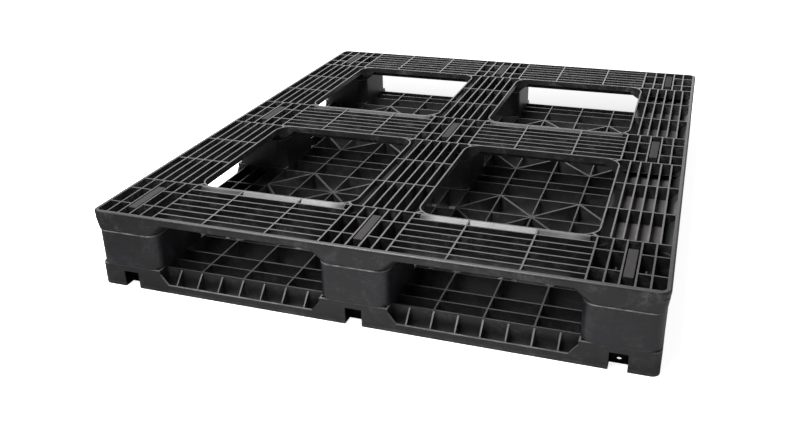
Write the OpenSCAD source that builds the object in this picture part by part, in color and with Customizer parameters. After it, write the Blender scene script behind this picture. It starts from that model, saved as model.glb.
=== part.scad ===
// Two-deck, nine-column plastic pallet. All sizes in millimetres.
// Origin on the floor under the centre, +Z up, long side along Y.

/* [Overall] */
// Length over the rounded edges, along Y
pallet_l = 1219; // [1205:1:1235]
// Width over the rounded edges, along X
pallet_w = 1016; // [1005:1:1030]
// Height from the floor to the load surface
pallet_h = 150; // [146:1:160]

/* [Top deck] */
// Depth of the skirt over each column
skirt_h = 38; // [34:1:42]
// Depth of the rail edges between the columns
rail_edge_h = 13; // [11:1:15]
// Depth of the rail ribs in the middle of a rail
rail_core_h = 28; // [22:1:32]
// Thickness of the ribs
rib_t = 3; // [2.6:0.1:3.6]
// Radius of the window corners
window_r = 32; // [26:1:36]
// Radius of the upright corners of the pallet
corner_r = 14; // [10:1:18]
// How far the rounded edge stands out past the foot of the skirt
bead_out = 3; // [2:0.5:4]
// Width of the sloping webs at the front and back of each window
collar_w = 23.6; // [22:0.2:26]

/* [Columns] */
// Width of a column, along X
column_w = 126; // [120:1:127]
// Length of a column, along Y
column_l = 162; // [154:1:163]
// Radius of the upright corners of a column
column_r = 22; // [16:1:26]
// Wall thickness of a column
column_wall = 4; // [3.2:0.2:5]
// Height of the shadow gap under the skirt
gap_h = 1; // [0.5:0.5:3]

/* [Bottom deck] */
// Height of the feet
foot_h = 43; // [41:1:45]
// Height of the bottom deck ribs
base_rib_h = 40.5; // [37:0.5:41]
// Height of the outer wall under the fork openings
sill_h = 16; // [14:1:20]
// Width of the notch in each front and back foot
notch_w = 30; // [24:1:34]
// Height of the notch in each front and back foot
notch_h = 32; // [24:1:34]
// Depth of the notch in each front and back foot
notch_d = 22; // [12:1:30]

/* [Grip inserts] */
// Width of a grip insert
insert_w = 16; // [13:0.5:17]
// Length of a grip insert
insert_l = 98; // [80:1:110]

/* [Hidden] */
$fn = 48;

plastic = "#2b2d30";
plastic2 = "#303236";
rubber = "#5a5252";

// half sizes
hx = pallet_w/2;
hy = pallet_l/2;
// datum faces, a little behind the rounded edge
fx = hx - bead_out;
fy = hy - bead_out;
// outer faces of the feet
foot_out = 0.8;
qx = fx + foot_out;
qy = fy + foot_out;
// blocks in plan: outer blocks run from the face inwards, middle blocks sit about the axis
block_w = 125.5;
block_l = 160.7;
mid_w = 62.4;
mid_l = 81.8;
// inner faces of the outer blocks are also the window edges
ix = fx - block_w;
iy = fy - block_l;
z_top = pallet_h;
z_skirt = pallet_h - skirt_h;
z_edge = pallet_h - rail_edge_h;
z_core = pallet_h - rail_core_h;
z_neck = z_skirt - gap_h;
rt = rib_t/2;
// window centre
wcx = (mid_w + ix)/2;
wcy = (mid_l + iy)/2;
// rib pitches
edge_t = 5.1;
// width of the rim round a window
edge_w = 3.2;
outer_pitch_x = (fx - edge_t + rt - (ix + 1.9))/6;
mid_pitch_x = (mid_w - 1.9)/3;
outer_pitch_y = (fy - 0.1 - (iy + 1.9))/7;
mid_pitch_y = (mid_l - 1.9)*2/7;
// how far the skirts spread towards the rails
flare = 27;

// extent of block i along X and j along Y, i and j in -1, 0, 1
function bx0(i) = i == 0 ? -mid_w : (i > 0 ? ix : -fx);
function bx1(i) = i == 0 ?  mid_w : (i > 0 ? fx : -ix);
function by0(j) = j == 0 ? -mid_l : (j > 0 ? iy : -fy);
function by1(j) = j == 0 ?  mid_l : (j > 0 ? fy : -iy);
function bcx(i) = (bx0(i) + bx1(i))/2;
function bcy(j) = (by0(j) + by1(j))/2;

module box(x0, x1, y0, y1, z0, z1)
    translate([min(x0, x1), min(y0, y1), z0]) cube([abs(x1 - x0), abs(y1 - y0), z1 - z0]);

// prism with a profile in X-Z, running from y0 to y1
module prism_y(pts, y0, y1)
    translate([0, y1, 0]) rotate([90, 0, 0]) linear_extrude(y1 - y0) polygon(pts);

// prism with a profile in Y-Z, running from x0 to x1
module prism_x(pts, x0, x1)
    translate([x0, 0, 0]) rotate([90, 0, 90]) linear_extrude(x1 - x0) polygon(pts);

// upright edge rounding: what lies outside a quarter circle at corner (x, y)
module corner_off(x, y, r, sx, sy, z0, z1)
    difference() {
        box(x - sx*r, x + sx*2, y - sy*r, y + sy*2, z0, z1);
        translate([x - sx*r, y - sy*r, z0 - 1]) cylinder(r = r, h = z1 - z0 + 2);
    }

// rectangle with four round corners
module round_box(w, l, r, z0, z1)
    translate([0, 0, z0]) linear_extrude(z1 - z0) union() {
        square([w - 2*r, l], center = true);
        square([w, l - 2*r], center = true);
        for (a = [-1, 1], b = [-1, 1]) translate([a*(w/2 - r), b*(l/2 - r)]) circle(r = r);
    }

// outer faces lean out towards the load surface: distance past the datum face at height z
function lean(z) = -0.8 + (bead_out + 0.8)*(z - z_skirt)/(z_top - 5 - z_skirt);

// outline with four corner radii, counted from +X+Y anticlockwise; a radius of 0 is a sharp corner
function arc(cx, cy, r, a0) = r == 0 ? [[cx, cy]] : [for (k = [0:6]) [cx + r*cos(a0 + 15*k), cy + r*sin(a0 + 15*k)]];
function outline(x0, x1, y0, y1, r) = concat(
    arc(x1 - r[0], y1 - r[0], r[0], 0), arc(x0 + r[1], y1 - r[1], r[1], 90),
    arc(x0 + r[2], y0 + r[2], r[2], 180), arc(x1 - r[3], y0 + r[3], r[3], 270));

// corner radii of block (i, j): inner ones follow the columns; e grows or shrinks them
function radii(i, j, inner, e) = [for (c = [[1, 1], [-1, 1], [-1, -1], [1, -1]])
    (c[0] == i && c[1] == j) ? corner_r + e : (inner == 0 ? 0 : inner + e)];
// outline of block (i, j): o moves the outer faces out, g the faces towards the rails
function block_outline(i, j, o, g, inner, e) = outline(
    bx0(i) - (i == -1 ? o : g), bx1(i) + (i == 1 ? o : g),
    by0(j) - (j == -1 ? o : g), by1(j) + (j == 1 ? o : g), radii(i, j, inner, e));

// solid between outline a at z0 and outline b at z1, with the same number of points
module loft(a, b, z0, z1) {
    n = len(a);
    polyhedron(
        points = concat([for (p = a) [p[0], p[1], z0]], [for (p = b) [p[0], p[1], z1]]),
        faces = concat([[for (k = [0:n - 1]) k]], [[for (k = [n - 1:-1:0]) n + k]],
            [for (k = [0:n - 1]) [k, n + k, (k + 1) % n]],
            [for (k = [0:n - 1]) [(k + 1) % n, n + k, n + (k + 1) % n]]));
}

// ---------------------------------------------------------------- top deck

// rib lines of a block, measured from its centre
function block_x(i) = [-(bx1(i) - bx0(i))/2 + rt, -34.8, -11.85, 11.85, 34.8, (bx1(i) - bx0(i))/2 - rt];
function block_y(j) = [-(by1(j) - by0(j))/2 + rt, -32.6, 32.6, (by1(j) - by0(j))/2 - rt];

module block_cells(i, j, z0, z1)
    translate([bcx(i), bcy(j), 0]) {
        gx = block_x(i);
        gy = block_y(j);
        for (c = [0, 1, 3, 4], r = [0:2])
            box(gx[c] + rt, gx[c + 1] - rt, gy[r] + rt, gy[r + 1] - rt, z0, z1);
        box(gx[2] + rt, gx[3] - rt, gy[0] + rt, gy[3] - rt, z0, z1);
    }

// underside profile of a rail across its width, from the window edge outwards
function rail_profile_outer(a0, a1) = [
    [a0, z_edge], [a0 + 3.8, z_edge], [a0 + 25, z_core], [a1 - 23, z_core], [a1 - 6, z_edge], [a1 - 1, z_edge], [a1 - 1, z_top], [a0, z_top]];
function rail_profile_mid(a) = [
    [-a, z_edge], [-a + 3.8, z_edge], [-a + 25, z_core], [a - 25, z_core], [a - 3.8, z_edge], [a, z_edge], [a, z_top], [-a, z_top]];

// rails before the cells are cut
module rails_solid()
    for (s = [0, 1]) {
        for (t = [0, 1]) mirror([s, 0, 0]) mirror([0, t, 0]) {
            prism_y(rail_profile_outer(ix, fx), mid_l - 1, iy + 1);
            prism_x(rail_profile_outer(iy, fy), mid_w - 1, ix + 1);
        }
        // middle rails
        mirror([0, s, 0]) prism_y(rail_profile_mid(mid_w), mid_l - 1, iy + 1);
        mirror([s, 0, 0]) prism_x(rail_profile_mid(mid_l), mid_w - 1, ix + 1);
    }

// closed floors: right across the left and right rails, and only at the sides of the middle rails along Y
function floor_outer(t) = [[ix + 1, z_edge], [ix + 3.8, z_edge], [ix + 25, z_core], [fx - 23, z_core], [fx - 6, z_edge], [fx - 4, z_edge],
    [fx - 4, z_edge + t], [fx - 6, z_edge + t], [fx - 23, z_core + t], [ix + 25, z_core + t], [ix + 3.8, z_edge + t], [ix + 1, z_edge + t]];
function floor_mid(t) = let(u = 22.5, z = z_edge - (z_edge - z_core)*(u - 3.8)/21.2)
    [[-mid_w + 1, z_edge], [-mid_w + 3.8, z_edge], [-mid_w + u, z], [-mid_w + u, z + t], [-mid_w + 3.8, z_edge + t], [-mid_w + 1, z_edge + t]];

module rail_floors()
    for (s = [0, 1], t = [0, 1]) mirror([s, 0, 0]) mirror([0, t, 0]) {
        prism_y(floor_outer(2.5), mid_l - 1, iy + 1);
        prism_y(floor_mid(2.5), mid_l - 1, iy + 1);
    }

// rounded edge that runs all round the load surface; u is measured from the datum face
function rim_profile() = [[-edge_t, z_edge], [lean(z_edge), z_edge], [bead_out, z_top - 5], [bead_out, z_top - 3.2],
    [bead_out - 0.5, z_top - 1.5], [bead_out - 1.5, z_top - 0.4], [bead_out - 3, z_top], [-edge_t, z_top]];

module rim() {
    for (s = [0, 1]) {
        mirror([s, 0, 0]) prism_y([for (p = rim_profile()) [fx + p[0], p[1]]], -(fy - corner_r), fy - corner_r);
        mirror([0, s, 0]) prism_x([for (p = rim_profile()) [fy + p[0], p[1]]], -(fx - corner_r), fx - corner_r);
    }
    for (a = [0:3]) {
        sx = (a == 0 || a == 3) ? 1 : -1;
        sy = a < 2 ? 1 : -1;
        translate([sx*(fx - corner_r), sy*(fy - corner_r), 0]) rotate([0, 0, a*90])
            rotate_extrude(angle = 90) translate([corner_r, 0]) polygon(rim_profile());
    }
}

// skirts over the columns: hollow, spreading under the rail ends
module skirts() {
    k = flare/(z_edge - z_skirt);
    difference() {
        for (i = [-1:1], j = [-1:1])
            loft(block_outline(i, j, lean(z_skirt), 0, column_r, 0),
                 block_outline(i, j, lean(z_edge), flare, column_r, 0), z_skirt, z_edge);
        // room between the block walls and the spreading skin
        difference() {
            for (i = [-1:1], j = [-1:1])
                loft(block_outline(i, j, lean(z_skirt - 1) - rib_t, -rib_t - k, column_r, -rib_t),
                     block_outline(i, j, lean(z_edge + 1) - rib_t, flare - rib_t + k, column_r, -rib_t), z_skirt - 1, z_edge + 1);
            for (i = [-1:1], j = [-1:1]) box(bx0(i), bx1(i), by0(j), by1(j), z_skirt - 2, z_edge + 2);
            window_holes(rib_t);
        }
        for (i = [-1:1], j = [-1:1]) intersection() {
            block_cells(i, j, z_skirt - 1, z_edge + 1);
            translate([0, 0, z_skirt - 1]) linear_extrude(z_edge - z_skirt + 2)
                polygon(block_outline(i, j, lean(z_skirt) - rib_t, -rib_t, column_r, -rib_t));
        }
        window_holes(0);
    }
}

// cells of all the rails
module rail_cells() {
    zz0 = z_skirt - 1;
    zz1 = z_top + 1;
    cy = [mid_l, mid_l + (iy - mid_l)/3, mid_l + 2*(iy - mid_l)/3, iy];
    cxr = [mid_w, wcx - 60.2, wcx + 60.2, ix];
    for (s = [-1, 1], t = [-1, 1]) mirror([s < 0 ? 1 : 0, 0, 0]) mirror([0, t < 0 ? 1 : 0, 0]) {
        // outer rail along Y
        for (k = [0:5], r = [0:2])
            box(ix + (k == 0 ? edge_w : 1.9 + k*outer_pitch_x + rt), ix + 1.9 + (k + 1)*outer_pitch_x - rt,
                cy[r] + (r == 0 ? 0 : rt), cy[r + 1] - (r == 2 ? 0 : rt), zz0, zz1);
        // outer rail along X
        for (k = [0:6], c = [0:2])
            box(cxr[c] + (c == 0 ? 0 : rt), cxr[c + 1] - (c == 2 ? 0 : rt),
                iy + (k == 0 ? edge_w : 1.9 + k*outer_pitch_y + rt), (k == 6 ? fy - edge_t : iy + 1.9 + (k + 1)*outer_pitch_y - rt), zz0, zz1);
    }
    for (t = [-1, 1]) mirror([0, t < 0 ? 1 : 0, 0])
        for (k = [0:5], r = [0:2])
            box(-mid_w + (k == 0 ? edge_w : 1.9 + k*mid_pitch_x + rt), -mid_w + (k == 5 ? 2*mid_w - edge_w : 1.9 + (k + 1)*mid_pitch_x - rt),
                cy[r] + (r == 0 ? 0 : rt), cy[r + 1] - (r == 2 ? 0 : rt), zz0, zz1);
    for (s = [-1, 1]) mirror([s < 0 ? 1 : 0, 0, 0])
        for (k = [0:6], c = [0:2])
            box(cxr[c] + (c == 0 ? 0 : rt), cxr[c + 1] - (c == 2 ? 0 : rt),
                -mid_l + (k == 0 ? edge_w : 1.9 + k*mid_pitch_y + rt), -mid_l + (k == 6 ? 2*mid_l - edge_w : 1.9 + (k + 1)*mid_pitch_y - rt), zz0, zz1);
}

// where the round corners of the windows take over from the straight rims along Y
module rim_ends()
    for (s = [0, 1], t = [0, 1]) mirror([s, 0, 0]) mirror([0, t, 0])
        for (y = [mid_l, iy - window_r]) {
            box(ix - 1, ix + edge_w, y, y + window_r, z_core - 1, z_top + 1);
            box(mid_w - edge_w, mid_w + 1, y, y + window_r, z_core - 1, z_top + 1);
        }

// collar section: u is the distance out from the window edge
function collar(w) = [[0, z_edge], [3, z_edge], [3, z_top - 4.2], [w, z_top - 4.2 - (w - 3)*0.64],
    [w, z_top - (w - 4)*0.64], [4, z_top], [0, z_top]];

// rim and webs round one window: sloping webs on the front and back sides, round rims in the corners
module window_collar() {
    wx = wcx - mid_w;
    wy = wcy - mid_l;
    r = window_r;
    for (s = [0, 1]) mirror([0, s, 0]) translate([0, wy, 0]) prism_x(collar(collar_w), -(wx - 10), wx - 10);
    for (a = [0:3]) {
        sx = (a == 0 || a == 3) ? 1 : -1;
        sy = a < 2 ? 1 : -1;
        translate([sx*(wx - r), sy*(wy - r), 0]) rotate([0, 0, a*90])
            rotate_extrude(angle = 90) translate([r, 0]) polygon([[0, z_edge], [edge_w, z_edge], [edge_w, z_top], [0, z_top]]);
        // tie from the block corner to the round corner
        translate([sx*(wx - r), sy*(wy - r), 0]) rotate([0, 0, 45 + a*90])
            box(r + 1, r*1.4142 + 2, -2.2, 2.2, z_edge, z_top);
    }
    // small fins on the collar, in line with the cross ribs
    for (t = [0, 1], c = [-60.2, 60.2])
        mirror([0, t, 0]) prism_x([[wy + 3, z_top - 3], [wy + 3.8, z_top], [wy + 22, z_top - 6], [wy + 22, z_top - 15], [wy + 8, z_top - 6]], c - rt, c + rt);
}

// the four rounded window holes, grown by e
module window_holes(e)
    for (a = [-1, 1], b = [-1, 1]) translate([a*wcx, b*wcy, 0])
        round_box(2*(wcx - mid_w + e), 2*(wcy - mid_l + e), window_r + e, z_skirt - 2, z_top + 2);

// bars that the column hooks catch on, above or below
module keepers(i, j, z0, z1)
    translate([bcx(i), bcy(j), 0])
        for (a = [-1, 1], b = [-1, 1])
            box(a*26.6, a*34.8, b*14, b*30, z0, z1);

module top_deck() color(plastic) union() {
    difference() {
        union() {
            for (i = [-1:1], j = [-1:1]) box(bx0(i), bx1(i), by0(j), by1(j), z_edge - 1, z_top);
            rails_solid();
        }
        for (i = [-1:1], j = [-1:1]) block_cells(i, j, z_edge - 2, z_top + 1);
        rail_cells();
        rim_ends();
        for (a = [-1, 1], b = [-1, 1]) corner_off(a*fx, b*fy, corner_r, a, b, z_edge - 2, z_top + 1);
    }
    skirts();
    rim();
    rail_floors();
    for (a = [-1, 1], b = [-1, 1]) translate([a*wcx, b*wcy, 0]) window_collar();
    for (i = [-1:1], j = [-1:1]) {
        keepers(i, j, z_skirt + 3, z_skirt + 7);
        // seat of the grip insert
        translate([bcx(i), bcy(j), 0]) for (b = [-1, 1]) box(-12.5, 12.5, b*28, b*52, z_skirt, z_skirt + 5);
    }
}

// ---------------------------------------------------------------- columns

module hooks(z, s)
    for (a = [-1, 1], b = [-1, 1]) {
        // blade and barb; s = 1 upwards, -1 downwards
        mirror([a < 0 ? 1 : 0, 0, 0]) translate([0, b*22, z]) mirror([0, 0, s < 0 ? 1 : 0])
            translate([0, 6, 0]) rotate([90, 0, 0]) linear_extrude(12)
                polygon([[21.8, -6], [24.8, -6], [24.8, 7.5], [28.2, 7.5], [28.2, 9], [25, 12.5], [21.8, 12.5]]);
    }

module column(i, j) color(plastic2) {
    cx = bcx(i);
    cy = bcy(j);
    translate([cx, cy, 0]) {
        difference() {
            union() {
                round_box(column_w, column_l, column_r, foot_h, z_neck);
                round_box(column_w - 10, column_l - 10, column_r - 5, z_neck - 1, z_skirt);
            }
            // four hollow quarters between the inner ribs
            difference() {
                round_box(column_w - 2*column_wall - 5, column_l - 2*column_wall - 5, column_r - column_wall - 2.5, foot_h - 1, z_skirt + 1);
                for (a = [-1, 1]) box(a*23.3 - 1.5, a*23.3 + 1.5, -100, 100, foot_h - 2, z_skirt + 2);
                box(-100, 100, -1.5, 1.5, foot_h - 2, z_skirt + 2);
            }
        }
        hooks(z_skirt, 1);
        hooks(foot_h, -1);
    }
}

// ---------------------------------------------------------------- grip inserts

module insert(i, j) color(rubber)
    translate([bcx(i), bcy(j), 0]) {
        box(-insert_w/2, insert_w/2, -insert_l/2, insert_l/2, z_skirt + 5, z_top);
        // side lugs that centre the insert between its two ribs
        for (a = [-1, 1], b = [-1, 0, 1])
            box(a*(insert_w/2 - 1), a*10.1, b*34 - 4, b*34 + 4, z_skirt + 7, z_top - 12);
    }

// ---------------------------------------------------------------- bottom deck

base_x = [-84.8, 0, 84.8];
base_y = [24.8, 56.5, 95.5];

// wall across a fork opening, low in the middle and rising to the feet
function sill(a0, a1) = [[a0, 0], [a1, 0], [a1, foot_h - 6], [a1 - 16, sill_h], [a0 + 16, sill_h], [a0, foot_h - 6]];

// outline of the bottom deck, before the cells are cut
module base_solid() {
    // feet
    for (i = [-1:1], j = [-1:1]) linear_extrude(foot_h) polygon(block_outline(i, j, foot_out, 0, 0, 0));
    for (s = [-1, 1]) {
        // boards along X and along Y, behind their outer walls
        box(-ix, ix, s*iy, s*(fy - base_y[0] + rt), 0, base_rib_h);
        box(s*ix, s*(fx - base_y[0] + rt), -iy, iy, 0, base_rib_h);
    }
    box(-ix, ix, -mid_l, mid_l, 0, base_rib_h);
    box(-mid_w, mid_w, -iy, iy, 0, base_rib_h);
    // lattice panels
    for (a = [-1, 1], b = [-1, 1]) box(a*mid_w, a*ix, b*mid_l, b*iy, 4, base_rib_h);
}

// outer walls and fins of the fork openings
module sills() {
    for (s = [0, 1], a = [-1, 1]) {
        mirror([0, s, 0]) translate([a*wcx, 0, 0]) {
            w = wcx - mid_w + 1;
            prism_y(sill(-w, w), qy - 4, qy);
            for (k = [-3:3]) prism_x([[qy - 2, 0], [qy - 2, sill_h - 1], [qy - 4, sill_h + 2], [fy - base_y[0], base_rib_h - 0.5], [fy - base_y[0], 0]], k*42.4 - 1.5, k*42.4 + 1.5);
        }
        mirror([s, 0, 0]) translate([0, a*wcy, 0]) {
            w = wcy - mid_l + 1;
            prism_x(sill(-w, w), qx - 4, qx);
            for (k = [-4:4]) prism_y([[qx - 2, 0], [qx - 2, sill_h - 1], [qx - 4, sill_h + 2], [fx - base_y[0], base_rib_h - 0.5], [fx - base_y[0], 0]], k*41 - 1.5, k*41 + 1.5);
        }
    }
}

// triangular cells of one lattice rectangle; d = 1 rises to the right, -1 falls
module tri_cells(x0, x1, y0, y1, d) {
    g = rt;
    w = x1 - x0;
    l = y1 - y0;
    k = rt*sqrt(w*w + l*l);
    // offsets of the diagonal's two faces along X and Y
    ox = k/l;
    oy = k/w;
    z0 = -1;
    h = base_rib_h + 2;
    translate([0, 0, z0]) linear_extrude(h) {
        if (d > 0) {
            polygon([[x0 + g, y0 + g + oy + g*l/w], [x0 + g, y1 - g], [x1 - g - ox - g*w/l, y1 - g]]);
            polygon([[x0 + g + ox + g*w/l, y0 + g], [x1 - g, y0 + g], [x1 - g, y1 - g - oy - g*l/w]]);
        } else {
            polygon([[x0 + g, y0 + g], [x1 - g - ox - g*w/l, y0 + g], [x0 + g, y1 - g - oy - g*l/w]]);
            polygon([[x1 - g, y1 - g], [x0 + g + ox + g*w/l, y1 - g], [x1 - g, y0 + g + oy + g*l/w]]);
        }
    }
}

module base_cells() {
    zz0 = -1;
    zz1 = base_rib_h + 1;
    wx = wcx - mid_w;
    wy = wcy - mid_l;
    gx = [-wx - rt, base_x[0], base_x[1], base_x[2], wx + rt];
    for (a = [0, 1], b = [0, 1]) mirror([a, 0, 0]) mirror([0, b, 0]) translate([wcx, 0, 0]) {
        // front and back boards
        gy = [iy - rt, fy - base_y[2], fy - base_y[1], fy - base_y[0]];
        for (c = [0:3], r = [0:2])
            box(gx[c] + rt, gx[c + 1] - rt, gy[r] + (r == 0 ? 2*rt : rt), gy[r + 1] - rt, zz0, zz1);
        // middle board
        for (c = [0:3]) box(gx[c] + rt, gx[c + 1] - rt, 19.1 + rt, mid_l - 2*rt, zz0, zz1);
        // lattice
        p = (iy - mid_l)/4;
        for (c = [0:3], r = [0:3])
            tri_cells(gx[c], gx[c + 1], mid_l - rt + r*(p + rt/2), mid_l - rt + (r + 1)*(p + rt/2), ((c + r) % 2 == 0) ? -1 : 1);
    }
    for (a = [0, 1]) mirror([a, 0, 0]) translate([wcx, 0, 0])
        for (c = [0:3]) box(gx[c] + rt, gx[c + 1] - rt, -19.1 + rt, 19.1 - rt, zz0, zz1);
    // boards along Y
    gyy = [-wy - rt, -82, 0, 82, wy + rt];
    for (a = [0, 1], b = [0, 1]) mirror([a, 0, 0]) mirror([0, b, 0]) translate([0, wcy, 0]) {
        gxx = [ix - rt, fx - 91, fx - base_y[1], fx - base_y[0]];
        for (c = [0:2], r = [0:3])
            box(gxx[c] + (c == 0 ? 2*rt : rt), gxx[c + 1] - rt, gyy[r] + rt, gyy[r + 1] - rt, zz0, zz1);
        for (r = [0:3]) box(19.1 + rt, mid_w - 2*rt, gyy[r] + rt, gyy[r + 1] - rt, zz0, zz1);
    }
    for (b = [0, 1]) mirror([0, b, 0]) translate([0, wcy, 0])
        for (r = [0:3]) box(-19.1 + rt, 19.1 - rt, gyy[r] + rt, gyy[r + 1] - rt, zz0, zz1);
}

// notches in the front and back feet, closed at the back; e grows the block they are cut from
module notches(e)
    for (i = [-1:1], s = [0, 1]) mirror([0, s, 0])
        box(bcx(i) - notch_w/2 - e, bcx(i) + notch_w/2 + e, qy - notch_d - e, e > 0 ? fy - 1 : qy + 2, e > 0 ? 0 : -1, notch_h + e);

// small oval hole through the back of the notch, in the front right foot and in the one opposite it
module notch_holes()
    for (s = [0, 180]) rotate([0, 0, s])
        translate([bcx(-1), qy - notch_d + 1, 9]) rotate([90, 0, 0]) linear_extrude(rib_t + 2)
            polygon([for (t = [0:15:345]) [3.8*cos(t), 2.3*sin(t)]]);

// cells of the feet; the outer walls keep their thickness round the corners
module foot_cells()
    for (i = [-1:1], j = [-1:1]) intersection() {
        block_cells(i, j, -1, foot_h + 1);
        translate([0, 0, -2]) linear_extrude(foot_h + 4) polygon(block_outline(i, j, foot_out - rib_t, -rib_t, 0, -rib_t));
    }

module bottom_deck() color(plastic) union() {
    difference() {
        union() {
            difference() {
                base_solid();
                foot_cells();
                base_cells();
            }
            notches(rib_t);
        }
        notches(0);
        notch_holes();
    }
    sills();
    for (i = [-1:1], j = [-1:1]) keepers(i, j, foot_h - 7, foot_h - 3);
}

top_deck();
bottom_deck();
column(-1, -1);  // column_front_left
column(0, -1);  // column_front_middle
column(1, -1);  // column_front_right
column(-1, 0);  // column_middle_left
column(0, 0);  // column_middle_middle
column(1, 0);  // column_middle_right
column(-1, 1);  // column_back_left
column(0, 1);  // column_back_middle
column(1, 1);  // column_back_right
insert(-1, -1);  // grip_insert_front_left
insert(0, -1);  // grip_insert_front_middle
insert(1, -1);  // grip_insert_front_right
insert(-1, 0);  // grip_insert_middle_left
insert(0, 0);  // grip_insert_middle_middle
insert(1, 0);  // grip_insert_middle_right
insert(-1, 1);  // grip_insert_back_left
insert(0, 1);  // grip_insert_back_middle
insert(1, 1);  // grip_insert_back_right
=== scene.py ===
import math

import bmesh
import bpy
from mathutils import Matrix, Vector


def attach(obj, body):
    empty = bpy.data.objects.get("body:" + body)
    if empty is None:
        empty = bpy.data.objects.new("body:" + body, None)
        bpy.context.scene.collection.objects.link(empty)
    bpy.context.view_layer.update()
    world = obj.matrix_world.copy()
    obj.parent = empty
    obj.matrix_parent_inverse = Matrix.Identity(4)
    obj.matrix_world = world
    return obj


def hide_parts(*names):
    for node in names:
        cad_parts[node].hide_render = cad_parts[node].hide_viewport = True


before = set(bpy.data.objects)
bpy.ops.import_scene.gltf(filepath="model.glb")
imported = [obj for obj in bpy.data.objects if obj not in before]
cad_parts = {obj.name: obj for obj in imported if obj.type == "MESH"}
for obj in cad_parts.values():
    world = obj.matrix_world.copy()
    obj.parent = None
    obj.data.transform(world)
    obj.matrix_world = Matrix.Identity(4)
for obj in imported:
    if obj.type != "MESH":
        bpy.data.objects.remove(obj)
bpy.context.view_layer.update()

SCENE = bpy.context.scene
MM = 0.001


# ------------------------------------------------------------------ camera
def make_camera():
    az, el, roll = (math.radians(a) for a in (19.358, 24.858, -1.010))
    focal_px, image_w = 855.23, 800.0
    place = Vector((0.49317, -1.76017, 0.78828))
    fwd = Vector((-math.sin(az) * math.cos(el), math.cos(az) * math.cos(el), -math.sin(el)))
    right = Vector((math.cos(az), math.sin(az), 0.0))
    up = right.cross(fwd)
    r2 = right * math.cos(roll) + up * math.sin(roll)
    u2 = up * math.cos(roll) - right * math.sin(roll)
    data = bpy.data.cameras.new("camera")
    data.sensor_fit = "HORIZONTAL"
    data.sensor_width = 36.0
    data.lens = focal_px * 36.0 / image_w
    data.clip_start, data.clip_end = 0.05, 100.0
    cam = bpy.data.objects.new("camera", data)
    m = Matrix.Identity(4)
    for i in range(3):
        m[i][0], m[i][1], m[i][2], m[i][3] = r2[i], u2[i], -fwd[i], place[i]
    cam.matrix_world = m
    SCENE.collection.objects.link(cam)
    SCENE.camera = cam


make_camera()


# ------------------------------------------------------------------ material helpers
def new_material(name):
    mat = bpy.data.materials.new(name)
    mat.use_nodes = True
    nt = mat.node_tree
    nt.nodes.clear()
    out = nt.nodes.new("ShaderNodeOutputMaterial")
    bsdf = nt.nodes.new("ShaderNodeBsdfPrincipled")
    nt.links.new(bsdf.outputs[0], out.inputs[0])
    return mat, nt, bsdf


class Tree:
    """Small helper for wiring nodes."""

    def __init__(self, nt):
        self.nt = nt

    def node(self, kind, **values):
        n = self.nt.nodes.new(kind)
        for k, v in values.items():
            if hasattr(n, k):
                setattr(n, k, v)
            else:
                n.inputs[k].default_value = v
        return n

    def link(self, a, b):
        self.nt.links.new(a, b)

    def coords(self):
        return self.node("ShaderNodeTexCoord").outputs["Object"]

    def mapping(self, vec, scale=(1, 1, 1), loc=(0, 0, 0), rot=(0, 0, 0)):
        n = self.node("ShaderNodeMapping")
        n.inputs["Scale"].default_value = scale
        n.inputs["Location"].default_value = loc
        n.inputs["Rotation"].default_value = rot
        self.link(vec, n.inputs["Vector"])
        return n.outputs[0]

    def noise(self, vec, scale, detail=3.0, rough=0.5, distortion=0.0):
        n = self.node("ShaderNodeTexNoise")
        n.inputs["Scale"].default_value = scale
        n.inputs["Detail"].default_value = detail
        n.inputs["Roughness"].default_value = rough
        n.inputs["Distortion"].default_value = distortion
        self.link(vec, n.inputs["Vector"])
        return n.outputs["Fac"]

    def ramp(self, fac, stops, interpolation="LINEAR"):
        n = self.node("ShaderNodeValToRGB")
        n.color_ramp.interpolation = interpolation
        els = n.color_ramp.elements
        while len(els) > 1:
            els.remove(els[-1])
        els[0].position = stops[0][0]
        c = stops[0][1]
        els[0].color = (c, c, c, 1) if not hasattr(c, "__len__") else (*c, 1)
        for p, c in stops[1:]:
            e = els.new(p)
            e.color = (c, c, c, 1) if not hasattr(c, "__len__") else (*c, 1)
        self.link(fac, n.inputs[0])
        return n.outputs[0]

    def math(self, op, a, b=None, clamp=False):
        n = self.node("ShaderNodeMath")
        n.operation = op
        n.use_clamp = clamp
        for i, v in enumerate((a, b)):
            if v is None:
                continue
            if isinstance(v, (int, float)):
                n.inputs[i].default_value = v
            else:
                self.link(v, n.inputs[i])
        return n.outputs[0]

    def span(self, v, lo, hi, to_lo=0.0, to_hi=1.0):
        n = self.node("ShaderNodeMapRange")
        n.interpolation_type = "SMOOTHSTEP"
        n.inputs["From Min"].default_value = lo
        n.inputs["From Max"].default_value = hi
        n.inputs["To Min"].default_value = to_lo
        n.inputs["To Max"].default_value = to_hi
        self.link(v, n.inputs["Value"])
        return n.outputs[0]

    def mix(self, fac, a, b):
        n = self.node("ShaderNodeMix")
        n.data_type = "RGBA"
        if isinstance(fac, (int, float)):
            n.inputs[0].default_value = fac
        else:
            self.link(fac, n.inputs[0])
        for i, v in ((6, a), (7, b)):
            if hasattr(v, "__len__"):
                n.inputs[i].default_value = (*v, 1)
            else:
                self.link(v, n.inputs[i])
        return n.outputs[2]

    def bump(self, height, strength, distance, normal=None):
        n = self.node("ShaderNodeBump")
        n.inputs["Strength"].default_value = strength
        n.inputs["Distance"].default_value = distance
        self.link(height, n.inputs["Height"])
        if normal is not None:
            self.link(normal, n.inputs["Normal"])
        return n.outputs[0]

    def split(self, vec):
        n = self.node("ShaderNodeSeparateXYZ")
        self.link(vec, n.inputs[0])
        return n.outputs


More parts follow.
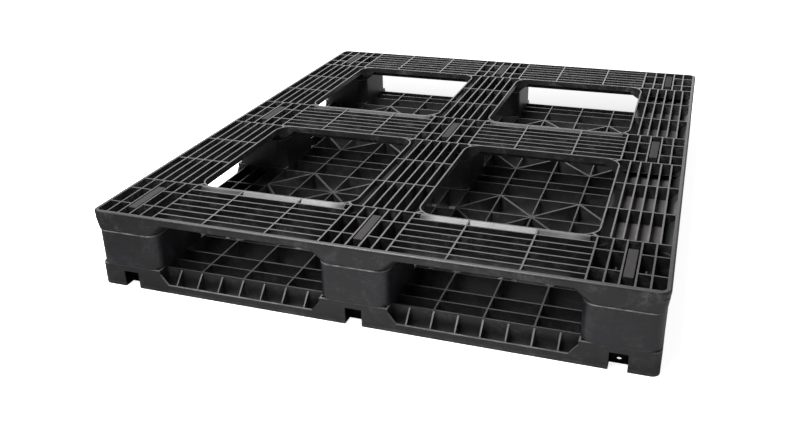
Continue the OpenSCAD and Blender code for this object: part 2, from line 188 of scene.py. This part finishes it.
def plastic(name, base, worn, rough=0.36, seed=0.0, top_wear=1.0, cool=0.0, dust=(0.068, 0.061, 0.060),
            seam_highlight=None, foot=False, webs=False):
    """Moulded black polyolefin: fine grain, drawn streaks on the walls, scuffs and rubbed edges, dust on inner
    floors, and painted light, shade and highlights set by position.
    """
    mat, nt, bsdf = new_material(name)
    t = Tree(nt)
    raw = t.coords()
    co = t.mapping(raw, loc=(seed, seed * 0.37, seed * 0.11))
    x, y, z = t.split(raw)[0:3]
    geo = t.node("ShaderNodeNewGeometry")
    nx, ny, nz = t.split(geo.outputs["Normal"])[0:3]
    up = t.span(nz, 0.60, 0.92)
    side = t.span(t.math("ABSOLUTE", nz), 0.45, 0.15)

    clouds = t.noise(co, 7.0, 4.0, 0.55)
    patches = t.noise(co, 26.0, 4.0, 0.62, 0.3)
    fine = t.noise(co, 160.0, 3.0, 0.6)
    grain = t.noise(co, 900.0, 2.0, 0.6)
    # drawn streaks run up and down the walls
    streak = t.noise(t.mapping(co, scale=(220.0, 220.0, 7.0)), 1.0, 2.0, 0.6)
    # long thin scratches in two directions
    scr1 = t.noise(t.mapping(co, scale=(9.0, 60.0, 60.0), rot=(0.0, 0.35, 0.2)), 2.6, 4.0, 0.7, 0.8)
    scr2 = t.noise(t.mapping(co, scale=(40.0, 12.0, 16.0), rot=(0.5, 0.9, 0.0)), 3.1, 4.0, 0.7, 0.6)
    scratch = t.math("MAXIMUM", t.ramp(scr1, [(0.585, 0.0), (0.602, 1.0), (0.618, 0.0)]),
                     t.ramp(scr2, [(0.600, 0.0), (0.612, 1.0), (0.624, 0.0)]))
    scuff = t.math("MULTIPLY", t.ramp(patches, [(0.50, 0.0), (0.72, 1.0)]), t.ramp(fine, [(0.38, 0.1), (0.66, 1.0)]))

    # rubbed load face
    at_top = t.math("MULTIPLY", up, t.span(z, 0.1480, 0.1492))
    rub_and_painted_light = t.math("MULTIPLY", at_top, t.ramp(t.noise(co, 55.0, 4.0, 0.6), [(0.30, 0.55), (0.70, 1.0)]))
    rub_and_painted_light = t.math("MULTIPLY", rub_and_painted_light, t.ramp(clouds, [(0.30, 0.75), (0.70, 1.0)]))
    # painted light: the rub is painted brighter toward the far end of the load face, standing in for light that
    # reaches the back
    painted_light_on_load_face = t.math("ADD", t.span(y, 0.10, 0.50, 0.0, 0.33), 0.40)
    painted_light_on_load_face = t.math("ADD", painted_light_on_load_face, t.span(y, 0.40, 0.47, 0.0, 0.60))
    # painted shade: the rub is painted darker at the near corners and along the outer rim, where highlights fall
    # dimmer
    wide, deep = t.math("ABSOLUTE", x), t.math("ABSOLUTE", y)
    painted_corner_shade = t.math("MULTIPLY", t.span(wide, 0.36, 0.39), t.span(y, -0.43, -0.46))
    painted_light_on_load_face = t.math("MULTIPLY", painted_light_on_load_face, t.math("SUBTRACT", 1.0, t.math("MULTIPLY", painted_corner_shade, 0.72)))
    painted_rim_shade = t.math("MAXIMUM", t.span(wide, 0.4985, 0.5000), t.span(deep, 0.6000, 0.6015))
    painted_light_on_load_face = t.math("MULTIPLY", painted_light_on_load_face, t.math("SUBTRACT", 1.0, t.math("MULTIPLY", painted_rim_shade, 0.75)))
    rub_and_painted_light = t.math("MULTIPLY", t.math("MULTIPLY", rub_and_painted_light, top_wear), painted_light_on_load_face, clamp=True)
    # lower edge of the feet, scraped along the floor
    low = t.math("MULTIPLY", t.span(z, 0.010, 0.001), t.ramp(patches, [(0.40, 0.1), (0.65, 0.8)]))

    wear_and_painted_light = t.math("MULTIPLY", t.math("MULTIPLY", scuff, side), 0.50)
    wear_and_painted_light = t.math("MAXIMUM", wear_and_painted_light, rub_and_painted_light)
    wear_and_painted_light = t.math("MAXIMUM", wear_and_painted_light, t.math("MULTIPLY", low, side))
    lines = t.math("MULTIPLY", t.math("MULTIPLY", scratch, side), t.ramp(clouds, [(0.45, 0.0), (0.62, 0.55)]))
    wear_and_painted_light = t.math("ADD", wear_and_painted_light, lines, clamp=True)

    tint = t.mix(patches, tuple(c * 0.85 for c in base), tuple(c * 1.45 for c in base))
    if cool:
        # the colour of the masterbatch drifts a little towards blue in places
        drift = t.ramp(t.noise(co, 15.0, 2.0, 0.5), [(0.46, 0.0), (0.56, cool)])
        tint = t.mix(t.math("MULTIPLY", drift, side), tint, (0.0120, 0.0125, 0.0185))
    if foot:
        # painted light: the side faces of the far half of the bottom deck are painted a lighter grey, standing in for
        # light that reaches them
        painted_light_far_half = t.math("MULTIPLY", t.math("MULTIPLY", t.span(y, 0.0, 0.25), side), 0.75)
        tint = t.mix(painted_light_far_half, tint, (0.027, 0.027, 0.027))
    colour = t.mix(wear_and_painted_light, tint, worn)
    # dust settles on inner floors that face up, below the load face
    level = t.span(nz, 0.90, 0.985)
    settled = t.math("MULTIPLY", level, t.span(z, 0.1300, 0.1280))
    settled = t.math("MULTIPLY", settled, t.span(z, 0.1180, 0.1210))
    settled = t.math("MULTIPLY", settled, t.ramp(t.noise(co, 38.0, 4.0, 0.65), [(0.30, 0.55), (0.65, 1.0)]))
    colour = t.mix(settled, colour, dust)
    # a dust film on the bottom deck's up-facing surfaces, its tone painted lighter toward the back as painted light
    film = t.math("MULTIPLY", up, t.span(z, 0.0450, 0.0440))
    film = t.math("MULTIPLY", film, t.ramp(patches, [(0.35, 0.10), (0.70, 0.34)]))
    dust_film_and_painted_light_tone = t.mix(t.span(y, -0.05, 0.20), (0.060, 0.060, 0.060), (0.110, 0.110, 0.110))
    colour = t.mix(film, colour, dust_film_and_painted_light_tone)
    if seam_highlight:
        # painted highlight: a pale band just under the column's top edge, standing in for light caught by that edge
        highlight_band = t.math("MULTIPLY", t.span(z, seam_highlight[0] - 0.0002, seam_highlight[0]), t.span(z, seam_highlight[1] + 0.0002, seam_highlight[1]))
        highlight_band = t.math("MULTIPLY", highlight_band, t.ramp(t.noise(co, 48.0, 2.0, 0.5), [(0.36, 0.35), (0.56, 1.0)]))
        colour = t.mix(highlight_band, colour, (seam_highlight[2], seam_highlight[2], seam_highlight[2]))
    if foot:
        # ledges and fin edges, knocked pale by forks in places and painted lighter as a highlight for light caught by
        # these edges; painted shade in the notches
        low_ledge = t.math("MULTIPLY", t.span(z, 0.0150, 0.0155), t.span(z, 0.0170, 0.0165))
        high_ledge = t.math("MULTIPLY", t.span(z, 0.0422, 0.0426), t.span(z, 0.0440, 0.0436))
        knocks_and_painted_glint = t.math("MULTIPLY", t.math("MAXIMUM", low_ledge, high_ledge), up)
        slope = t.math("MULTIPLY", t.span(nz, 0.12, 0.30), t.span(nz, 0.94, 0.86))
        slope = t.math("MULTIPLY", slope, t.math("MULTIPLY", t.span(z, 0.0120, 0.0150), t.span(z, 0.0420, 0.0405)))
        knocks_and_painted_glint = t.math("MAXIMUM", knocks_and_painted_glint, t.math("MULTIPLY", slope, 0.8))
        knocks_and_painted_glint = t.math("MULTIPLY", knocks_and_painted_glint, t.ramp(t.noise(co, 45.0, 3.0, 0.6), [(0.34, 0.45), (0.58, 1.0)]))
        colour = t.mix(knocks_and_painted_glint, colour, (0.135, 0.135, 0.135))
        # painted shade: the notches are painted near black and made less glossy
        ax, ay = t.math("ABSOLUTE", x), t.math("ABSOLUTE", y)
        painted_notch_shade = t.math("MAXIMUM", t.span(ax, 0.0175, 0.0165),
                       t.span(t.math("ABSOLUTE", t.math("SUBTRACT", ax, 0.44225)), 0.0175, 0.0165))
        painted_notch_shade = t.math("MULTIPLY", painted_notch_shade, t.math("MULTIPLY", t.span(ay, 0.5815, 0.5825), t.span(ay, 0.6060, 0.6040)))
        painted_notch_shade = t.math("MULTIPLY", painted_notch_shade, t.span(z, 0.0350, 0.0335))
        colour = t.mix(painted_notch_shade, colour, (0.003, 0.003, 0.003))
        t.link(t.math("SUBTRACT", 0.5, t.math("MULTIPLY", painted_notch_shade, 0.42)), bsdf.inputs["Specular IOR Level"])
    if webs:
        # the sloping webs beside the windows lose their gloss at their ends and along the middle rails
        ax, ay = t.math("ABSOLUTE", x), t.math("ABSOLUTE", y)
        web = t.math("MULTIPLY", t.span(nz, 0.15, 0.30), t.span(nz, 0.97, 0.92))
        web = t.math("MULTIPLY", web, t.math("MULTIPLY", t.span(ax, 0.405, 0.395), t.span(ay, 0.520, 0.500)))
        ends = t.span(t.math("ABSOLUTE", t.math("SUBTRACT", ax, 0.22095)), 0.112, 0.148)
        dull = t.math("MAXIMUM", t.math("MULTIPLY", ends, 0.85), t.span(y, -0.02, 0.04, 0.0, 0.55))
        dull = t.math("MULTIPLY", dull, web)
        t.link(t.math("SUBTRACT", 0.5, t.math("MULTIPLY", dull, 0.5)), bsdf.inputs["Specular IOR Level"])
    t.link(colour, bsdf.inputs["Base Color"])

    r = t.math("ADD", t.math("MULTIPLY", clouds, 0.12), rough - 0.06)
    r = t.math("ADD", r, t.math("MULTIPLY", streak, 0.05))
    r = t.math("ADD", r, t.math("MULTIPLY", patches, 0.08))
    r = t.math("ADD", r, t.math("MULTIPLY", wear_and_painted_light, 0.12))
    r = t.math("ADD", r, t.math("MULTIPLY", settled, 0.35), clamp=True)
    t.link(r, bsdf.inputs["Roughness"])
    bsdf.inputs["IOR"].default_value = 1.5

    h = t.math("ADD", t.math("MULTIPLY", grain, 0.5), t.math("MULTIPLY", fine, 0.7))
    h = t.math("ADD", h, t.math("MULTIPLY", t.math("MULTIPLY", streak, side), 0.5))
    h = t.math("SUBTRACT", h, t.math("MULTIPLY", scratch, 0.6))
    n1 = t.bump(h, 0.35, 0.00018)
    t.link(n1, bsdf.inputs["Normal"])
    return mat


def rubber(name, seed=0.0):
    """Soft grip strip: dusty, matt, with faint cross wear."""
    mat, nt, bsdf = new_material(name)
    t = Tree(nt)
    co = t.mapping(t.coords(), loc=(seed, seed * 0.7, 0.0))
    clouds = t.noise(co, 30.0, 4.0, 0.6)
    grain = t.noise(co, 700.0, 3.0, 0.65)
    dust = t.ramp(t.noise(co, 120.0, 4.0, 0.7), [(0.40, 0.0), (0.72, 1.0)])
    base = t.mix(clouds, (0.0100, 0.0084, 0.0084), (0.0165, 0.0140, 0.0140))
    col = t.mix(t.math("MULTIPLY", dust, 0.4), base, (0.034, 0.030, 0.030))
    t.link(col, bsdf.inputs["Base Color"])
    t.link(t.math("ADD", t.math("MULTIPLY", clouds, 0.2), 0.62), bsdf.inputs["Roughness"])
    bsdf.inputs["IOR"].default_value = 1.5
    bsdf.inputs["Specular IOR Level"].default_value = 0.3
    t.link(t.bump(grain, 0.5, 0.0003), bsdf.inputs["Normal"])
    return mat


# ------------------------------------------------------------------ pieces
def merge_flat(bm, limit):
    """Join coplanar triangles into larger faces, kept convex so that each still has a clean surface."""
    for e in sorted(bm.edges, key=lambda e: -e.calc_length()):
        if not e.is_valid or len(e.link_faces) != 2:
            continue
        pair = e.link_faces
        if pair[0] is pair[1] or pair[0].normal.angle(pair[1].normal, 10.0) > limit:
            continue
        convex = True
        for v in e.verts:
            d0 = e.other_vert(v).co - v.co
            nexts = [next(x for x in f.edges if x is not e and v in x.verts) for f in pair]
            turn = sum(d0.angle(g.other_vert(v).co - v.co, math.pi) for g in nexts)
            if nexts[0] is nexts[1] or turn > math.pi + 0.0008:
                convex = False
                break
        if convex:
            bmesh.utils.face_join(list(pair))
    on_line = []
    for v in bm.verts:
        if len(v.link_edges) == 2:
            a, b = (e.other_vert(v).co - v.co for e in v.link_edges)
            if a.angle(b, 0.0) > math.pi - 0.0008:
                on_line.append(v)
    bmesh.ops.dissolve_verts(bm, verts=on_line)


def moulded(name, node, mat, width, segments=2, top_edge=None):
    """The CAD node with its edges rounded as they come out of a mould."""
    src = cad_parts[node]
    bm = bmesh.new()
    bm.from_mesh(src.data)
    bm.transform(src.matrix_world)
    bmesh.ops.remove_doubles(bm, verts=bm.verts[:], dist=2e-6)
    merge_flat(bm, math.radians(0.8))
    bm.verts.ensure_lookup_table()
    bm.edges.ensure_lookup_table()

    def sharp(e, limit=28.0):
        return len(e.link_faces) == 2 and e.calc_face_angle(0.0) > math.radians(limit)

    def rounded(size, test, roomy=False):
        """Bevel the edges that pass the test and have room for it along every edge they meet."""
        chosen = {e for e in bm.edges if test(e)}
        while chosen and not roomy:
            tight = set()
            for e in chosen:
                for f in e.link_faces:
                    for v in e.verts:
                        g = next(x for x in f.edges if x is not e and v in x.verts)
                        d1 = e.other_vert(v).co - v.co
                        d2 = g.other_vert(v).co - v.co
                        if d1.length < 1e-7 or d2.length < 1e-7:
                            tight.add(e)
                            continue
                        turn = d1.angle(d2)
                        if turn < math.radians(12):
                            tight.add(e)
                        elif g in chosen:
                            if size / math.tan(turn / 2) > 0.45 * min(d1.length, d2.length):
                                tight.add(e)
                        elif size / max(math.sin(turn), 1e-4) > 0.45 * d2.length:
                            tight.add(e)
            if not tight:
                break
            chosen -= tight
        if chosen:
            bmesh.ops.bevel(bm, geom=list(chosen), offset=size, offset_type="OFFSET", segments=segments, profile=0.5,
                            affect="EDGES", clamp_overlap=False, loop_slide=True, miter_outer="SHARP")
        return len(chosen)

    lo = Vector([min(v.co[k] for v in bm.verts) for k in range(3)])
    hi = Vector([max(v.co[k] for v in bm.verts) for k in range(3)])
    if top_edge is not None:
        z, size = top_edge
        rounded(size, lambda e: sharp(e, 60.0) and e.is_convex and all(abs(v.co.z - z) < 1e-5 for v in e.verts), True)

    def plain(e):
        if top_edge is None:
            return True
        z, size = top_edge
        return not all(z - size * 1.2 < v.co.z < z + 1e-5 for v in e.verts)

    rounded(width, lambda e: sharp(e) and plain(e))
    # rounding never reaches past the shape it started from
    for v in bm.verts:
        for k in range(3):
            v.co[k] = min(max(v.co[k], lo[k]), hi[k])
    bmesh.ops.recalc_face_normals(bm, faces=bm.faces[:])
    me = bpy.data.meshes.new(name)
    bm.to_mesh(me)
    bm.free()
    me.polygons.foreach_set("use_smooth", [True] * len(me.polygons))
    me.set_sharp_from_angle(angle=math.radians(8.5))
    me.materials.append(mat)
    o = bpy.data.objects.new(name, me)
    SCENE.collection.objects.link(o)
    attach(o, "root")
    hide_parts(node)
    return o


deck = (0.0105, 0.0106, 0.0108)
for i, node in enumerate(sorted(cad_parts)):
    if node == "top_deck":
        mat = plastic("top_deck_plastic", deck, (0.170, 0.170, 0.170), 0.34, 0.0,
                      dust=(0.084, 0.076, 0.075), webs=True)
        moulded("top_deck_moulded", node, mat, 0.0005)
    elif node == "bottom_deck":
        # foot=True adds painted light on the far half, knocks and painted highlights on ledges and fins, and painted
        # shade in the notches
        mat = plastic("bottom_deck_plastic", deck, (0.095, 0.095, 0.095), 0.36, 3.1, foot=True)
        moulded("bottom_deck_moulded", node, mat, 0.0005)
    elif node.startswith("column"):
        # the last keyword sets a painted highlight band just under the column's top edge
        mat = plastic(node + "_plastic", (0.0105, 0.0107, 0.0111), (0.085, 0.086, 0.090), 0.33, 1.7 * i, 1.0, 0.8,
                      seam_highlight=(0.1097, 0.1112, 0.25))
        moulded(node + "_moulded", node, mat, 0.0006, 2, (0.111, 0.0016))
    else:
        mat = rubber(node + "_rubber", 1.3 * i)
        moulded(node + "_moulded", node, mat, 0.0008)


# ------------------------------------------------------------------ stage and lights
def stage():
    bm = bmesh.new()
    bmesh.ops.create_grid(bm, x_segments=1, y_segments=1, size=30.0)
    me = bpy.data.meshes.new("floor")
    bm.to_mesh(me)
    bm.free()
    floor = bpy.data.objects.new("floor", me)
    SCENE.collection.objects.link(floor)
    mat, nt, bsdf = new_material("floor")
    t = Tree(nt)
    bsdf.inputs["Roughness"].default_value = 0.9
    bsdf.inputs["Specular IOR Level"].default_value = 0.1
    # the studio sweep glows white for the camera away from the object; the glow is off under the object and weaker
    # close to it, a painted faint shadow
    x, y, z = t.split(t.coords())[0:3]
    away = t.math("MAXIMUM", t.math("SUBTRACT", t.math("ABSOLUTE", x), 0.508),
                  t.math("SUBTRACT", t.math("ABSOLUTE", y), 0.6095))
    glow_with_painted_shade = t.span(away, -0.075, -0.055, 0.0, 0.84)
    glow_with_painted_shade = t.math("ADD", glow_with_painted_shade, t.span(away, 0.02, 0.40, 0.0, 0.16))
    # painted shade: a light grey fall-off on the floor close behind the object
    painted_shade_behind = t.math("MULTIPLY", t.span(y, 0.60, 0.66), t.span(y, 1.20, 0.90))
    painted_shade_behind = t.math("MULTIPLY", painted_shade_behind, t.math("MULTIPLY", t.span(x, -0.73, -0.60), t.span(x, 0.508, 0.44)))
    glow_with_painted_shade = t.math("SUBTRACT", glow_with_painted_shade, t.math("MULTIPLY", painted_shade_behind, 0.42))
    # painted shade: for the camera the floor is dark grey under the object, lighter around it
    camera_albedo_with_painted_shade = t.span(away, -0.075, -0.055, 0.20, 0.90)
    ray = t.node("ShaderNodeLightPath").outputs["Is Camera Ray"]
    # the sweep reflects less on the left, where it is shaded from the side
    shade = t.node("ShaderNodeMapRange")
    for k, v in (("From Min", -0.65), ("From Max", 0.05), ("To Min", 0.13), ("To Max", 0.40)):
        shade.inputs[k].default_value = v
    t.link(x, shade.inputs["Value"])
    seen = t.math("SUBTRACT", camera_albedo_with_painted_shade, t.math("MULTIPLY", painted_shade_behind, 0.62))
    t.link(t.mix(ray, shade.outputs[0], seen), bsdf.inputs["Base Color"])
    t.link(t.math("MULTIPLY", glow_with_painted_shade, ray), bsdf.inputs["Emission Strength"])
    bsdf.inputs["Emission Color"].default_value = (1, 1, 1, 1)
    # seen from below it is clear, so that the underside shows
    out = next(n for n in nt.nodes if n.type == "OUTPUT_MATERIAL")
    clear = t.node("ShaderNodeBsdfTransparent")
    mix = t.node("ShaderNodeMixShader")
    back = t.node("ShaderNodeNewGeometry").outputs["Backfacing"]
    t.link(back, mix.inputs[0])
    t.link(bsdf.outputs[0], mix.inputs[1])
    t.link(clear.outputs[0], mix.inputs[2])
    t.link(mix.outputs[0], out.inputs[0])
    me.materials.append(mat)

    world = bpy.data.worlds.new("world")
    SCENE.world = world
    world.use_nodes = True
    wt = Tree(world.node_tree)
    bg = world.node_tree.nodes["Background"]
    bg.inputs["Color"].default_value = (1.0, 1.0, 1.0, 1)
    cam_ray = wt.node("ShaderNodeLightPath").outputs["Is Camera Ray"]
    wt.link(wt.math("ADD", wt.math("MULTIPLY", cam_ray, 0.78), 0.24), bg.inputs["Strength"])


def area(name, place, target, size, power, shape="RECTANGLE"):
    data = bpy.data.lights.new(name, "AREA")
    data.shape = shape
    data.size, data.size_y = size
    data.energy = power
    o = bpy.data.objects.new(name, data)
    o.location = place
    o.rotation_mode = "QUATERNION"
    o.rotation_quaternion = (Vector(target) - Vector(place)).to_track_quat("-Z", "Y")
    o.visible_camera = False
    SCENE.collection.objects.link(o)
    return o


stage()
area("overhead_softbox", (-0.50, -0.40, 2.0), (-0.50, -0.40, 0.0), (1.35, 1.20), 100.0)
area("front_softbox", (-0.55, -1.90, 2.0), (-0.10, -0.70, 0.10), (1.0, 0.9), 25.0)
area("back_panel", (-2.2, 6.2, 1.75), (-0.1, 0.0, 0.15), (7.5, 2.8), 140.0)

SCENE.view_settings.view_transform = "Standard"
SCENE.view_settings.look = "None"
SCENE.view_settings.exposure = 0.0
